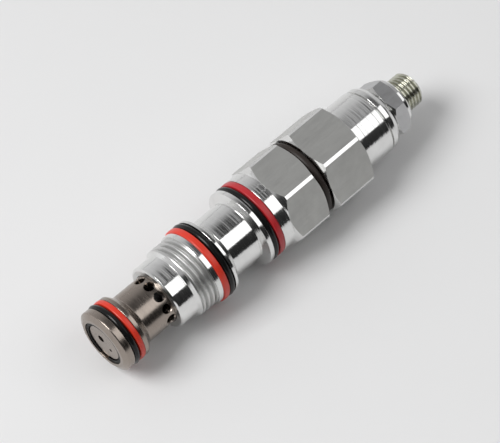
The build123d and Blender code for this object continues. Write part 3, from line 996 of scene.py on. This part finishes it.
class VALVE_OT_inner_pieces(bpy.types.Operator):
    """Finishes for the CAD pieces that show through the ports or sit inside"""
    bl_idname = "valve.inner_pieces"
    bl_label = "Inner pieces"

    def execute(self, context):
        looks = {
            "zinc": ("top_cap",),
            "sleeve": ("check_spring_retainer",),
            "black_oxide": ("nose_retaining_ring", "screw_stop_ring"),
            "spring": ("check_spring", "main_spring"),
            "ground": ("check_seat", "relief_piston", "pilot_gland", "lower_spring_seat",
                       "upper_spring_seat"),
            "rubber": ("sleeve_o_ring", "piston_o_ring", "gland_o_ring"),
            "backup": ("gland_backup_ring",),
        }
        for look, nodes in looks.items():
            for node in nodes:
                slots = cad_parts[node].material_slots
                if not slots:
                    raise RuntimeError(f"{node} has no material slot")
                for slot in slots:
                    slot.material = finish(look)
        return {"FINISHED"}


# ---------------------------------------------------------------- studio

def soft_light(name, place, size, radiance):
    """A rectangular light at place, facing the valve, with its long side along it."""
    data = bpy.data.lights.new(name, "AREA")
    data.shape = "RECTANGLE"
    data.size, data.size_y = size
    data.energy = math.pi * size[0] * size[1] * radiance
    lamp = bpy.data.objects.new(name, data)
    out = (place - LIT_POINT).normalized()
    up = out.cross(Vector((1, 0, 0))).normalized()
    turn = Matrix((up.cross(out), up, out)).transposed().to_4x4()
    lamp.matrix_world = Matrix.Translation(place) @ turn
    bpy.context.scene.collection.objects.link(lamp)


def floor_material(settings):
    """Matt pale floor with the faintest unevenness."""
    material, graph, shader = start_material("pale_floor")
    uneven = graph.noise(graph.object_coords(), 30.0, 3.0, 0.5)
    base = tuple(settings.floor)
    tone = graph.mix(uneven, (*base, 1.0), (*(c * 0.985 for c in base), 1.0))
    linked(graph, shader, tone)
    shader.inputs["Roughness"].default_value = 0.75
    return material


def ramp_of(graph, factor, stops):
    """A grey colour ramp through (position, value) stops."""
    ramp = graph.node("ShaderNodeValToRGB", {"Fac": factor})
    elements = ramp.color_ramp.elements
    for n, (place, value) in enumerate(stops):
        element = elements[n] if n < 2 else elements.new(place)
        element.position = place
        element.color = (value, value, value * 1.01, 1.0)
    return ramp.outputs["Color"]


def studio_world():
    """A dim room, dark overhead and behind the camera, paler to the far side and the ends."""
    world = bpy.data.worlds.new("studio")
    world.use_nodes = True
    world.node_tree.nodes.clear()
    graph = Graph(world.node_tree)
    way = graph.node("ShaderNodeTexCoord").outputs["Generated"]
    parts = graph.node("ShaderNodeSeparateXYZ", {0: way}).outputs
    above = graph.maths("MAXIMUM", parts["Z"], 0.0001)
    turn = graph.maths("ARCTAN2", above, graph.maths("MULTIPLY", parts["Y"], -1.0))
    turn = graph.maths("DIVIDE", turn, math.pi)
    dark = ramp_of(graph, turn, ((0.0, 0.02), (0.22, 0.02), (0.45, 0.03), (0.58, 0.03),
                                 (0.66, 0.08), (0.745, 0.33), (0.815, 0.54), (0.985, 0.70)))
    pale = ramp_of(graph, turn, ((0.0, 0.02), (0.30, 0.05), (0.46, 0.20), (0.50, 0.42),
                                 (0.745, 0.48), (0.985, 0.70)))
    aside = graph.maths("ABSOLUTE", graph.maths("SUBTRACT", parts["X"], 0.365))
    tone = graph.mix(graph.spread(aside, 0.075, 0.13), dark, pale)
    back = graph.node("ShaderNodeBackground", {"Color": tone, "Strength": 1.0})
    output = graph.node("ShaderNodeOutputWorld")
    graph.tree.links.new(back.outputs[0], output.inputs["Surface"])
    bpy.context.scene.world = world


class VALVE_OT_studio(bpy.types.Operator):
    """Pale floor, two soft lights and the camera"""
    bl_idname = "valve.studio"
    bl_label = "Studio"

    def execute(self, context):
        s = context.scene.studio_settings
        bpy.ops.mesh.primitive_grid_add(x_subdivisions=8, y_subdivisions=8, size=2 * FLOOR_REACH)
        ground = context.object
        ground.name = "floor"
        ground.location = (CAD_BOX[0].x / 2 + CAD_BOX[1].x / 2, 0, CAD_BOX[0].z - FLOOR_GAP)
        ground.data.materials.append(floor_material(s))
        soft_light("light_near", NEAR_LIGHT, (0.46, 0.43), 1.45)
        soft_light("light_key", KEY_LIGHT, (0.52, 0.52), 9.1)
        studio_world()
        lens = bpy.data.cameras.new("camera")
        lens.lens = s.lens
        lens.sensor_width = SENSOR_WIDTH
        lens.clip_start, lens.clip_end = 0.01, 20.0
        camera = bpy.data.objects.new("camera", lens)
        back = Vector((math.sin(s.azimuth) * math.cos(s.elevation),
                       -math.cos(s.azimuth) * math.cos(s.elevation), math.sin(s.elevation)))
        camera.location = CAMERA_AIM + back * s.distance
        camera.rotation_mode = "QUATERNION"
        look = (-back).to_track_quat("-Z", "Y")
        camera.rotation_quaternion = look @ Matrix.Rotation(s.roll, 3, "Z").to_quaternion()
        context.scene.collection.objects.link(camera)
        context.scene.camera = camera
        context.scene.view_settings.view_transform = "Standard"
        return {"FINISHED"}


class VALVE_PT_panel(bpy.types.Panel):
    """Buttons for each piece"""
    bl_label = "Cartridge valve"
    bl_space_type = "VIEW_3D"
    bl_region_type = "UI"
    bl_category = "Valve"

    def draw(self, context):
        for operator in OPERATORS:
            self.layout.operator(operator.bl_idname)
        for key, group in SETTINGS.items():
            box = self.layout.box()
            settings = getattr(context.scene, key)
            for name in group.__annotations__:
                box.prop(settings, name)


OPERATORS = (
    VALVE_OT_body,
    VALVE_OT_nose_sleeve,
    VALVE_OT_o_rings,
    VALVE_OT_backup_rings,
    VALVE_OT_vent_ring,
    VALVE_OT_adjusting_screw,
    VALVE_OT_lock_nut,
    VALVE_OT_inner_pieces,
    VALVE_OT_studio,
)


def register():
    """Registers the settings, the operators and the panel."""
    for key, group in SETTINGS.items():
        bpy.utils.register_class(group)
        setattr(bpy.types.Scene, key, PointerProperty(type=group))
    for made in (*OPERATORS, VALVE_PT_panel):
        bpy.utils.register_class(made)


def unregister():
    """Takes the add-on's classes away again."""
    for made in reversed((*OPERATORS, VALVE_PT_panel)):
        bpy.utils.unregister_class(made)
    for key, group in SETTINGS.items():
        delattr(bpy.types.Scene, key)
        bpy.utils.unregister_class(group)


def main():
    """Builds every piece and the studio."""
    register()
    for operator in OPERATORS:
        group, name = operator.bl_idname.split(".")
        getattr(getattr(bpy.ops, group), name)()


if __name__ == "__main__":
    main()
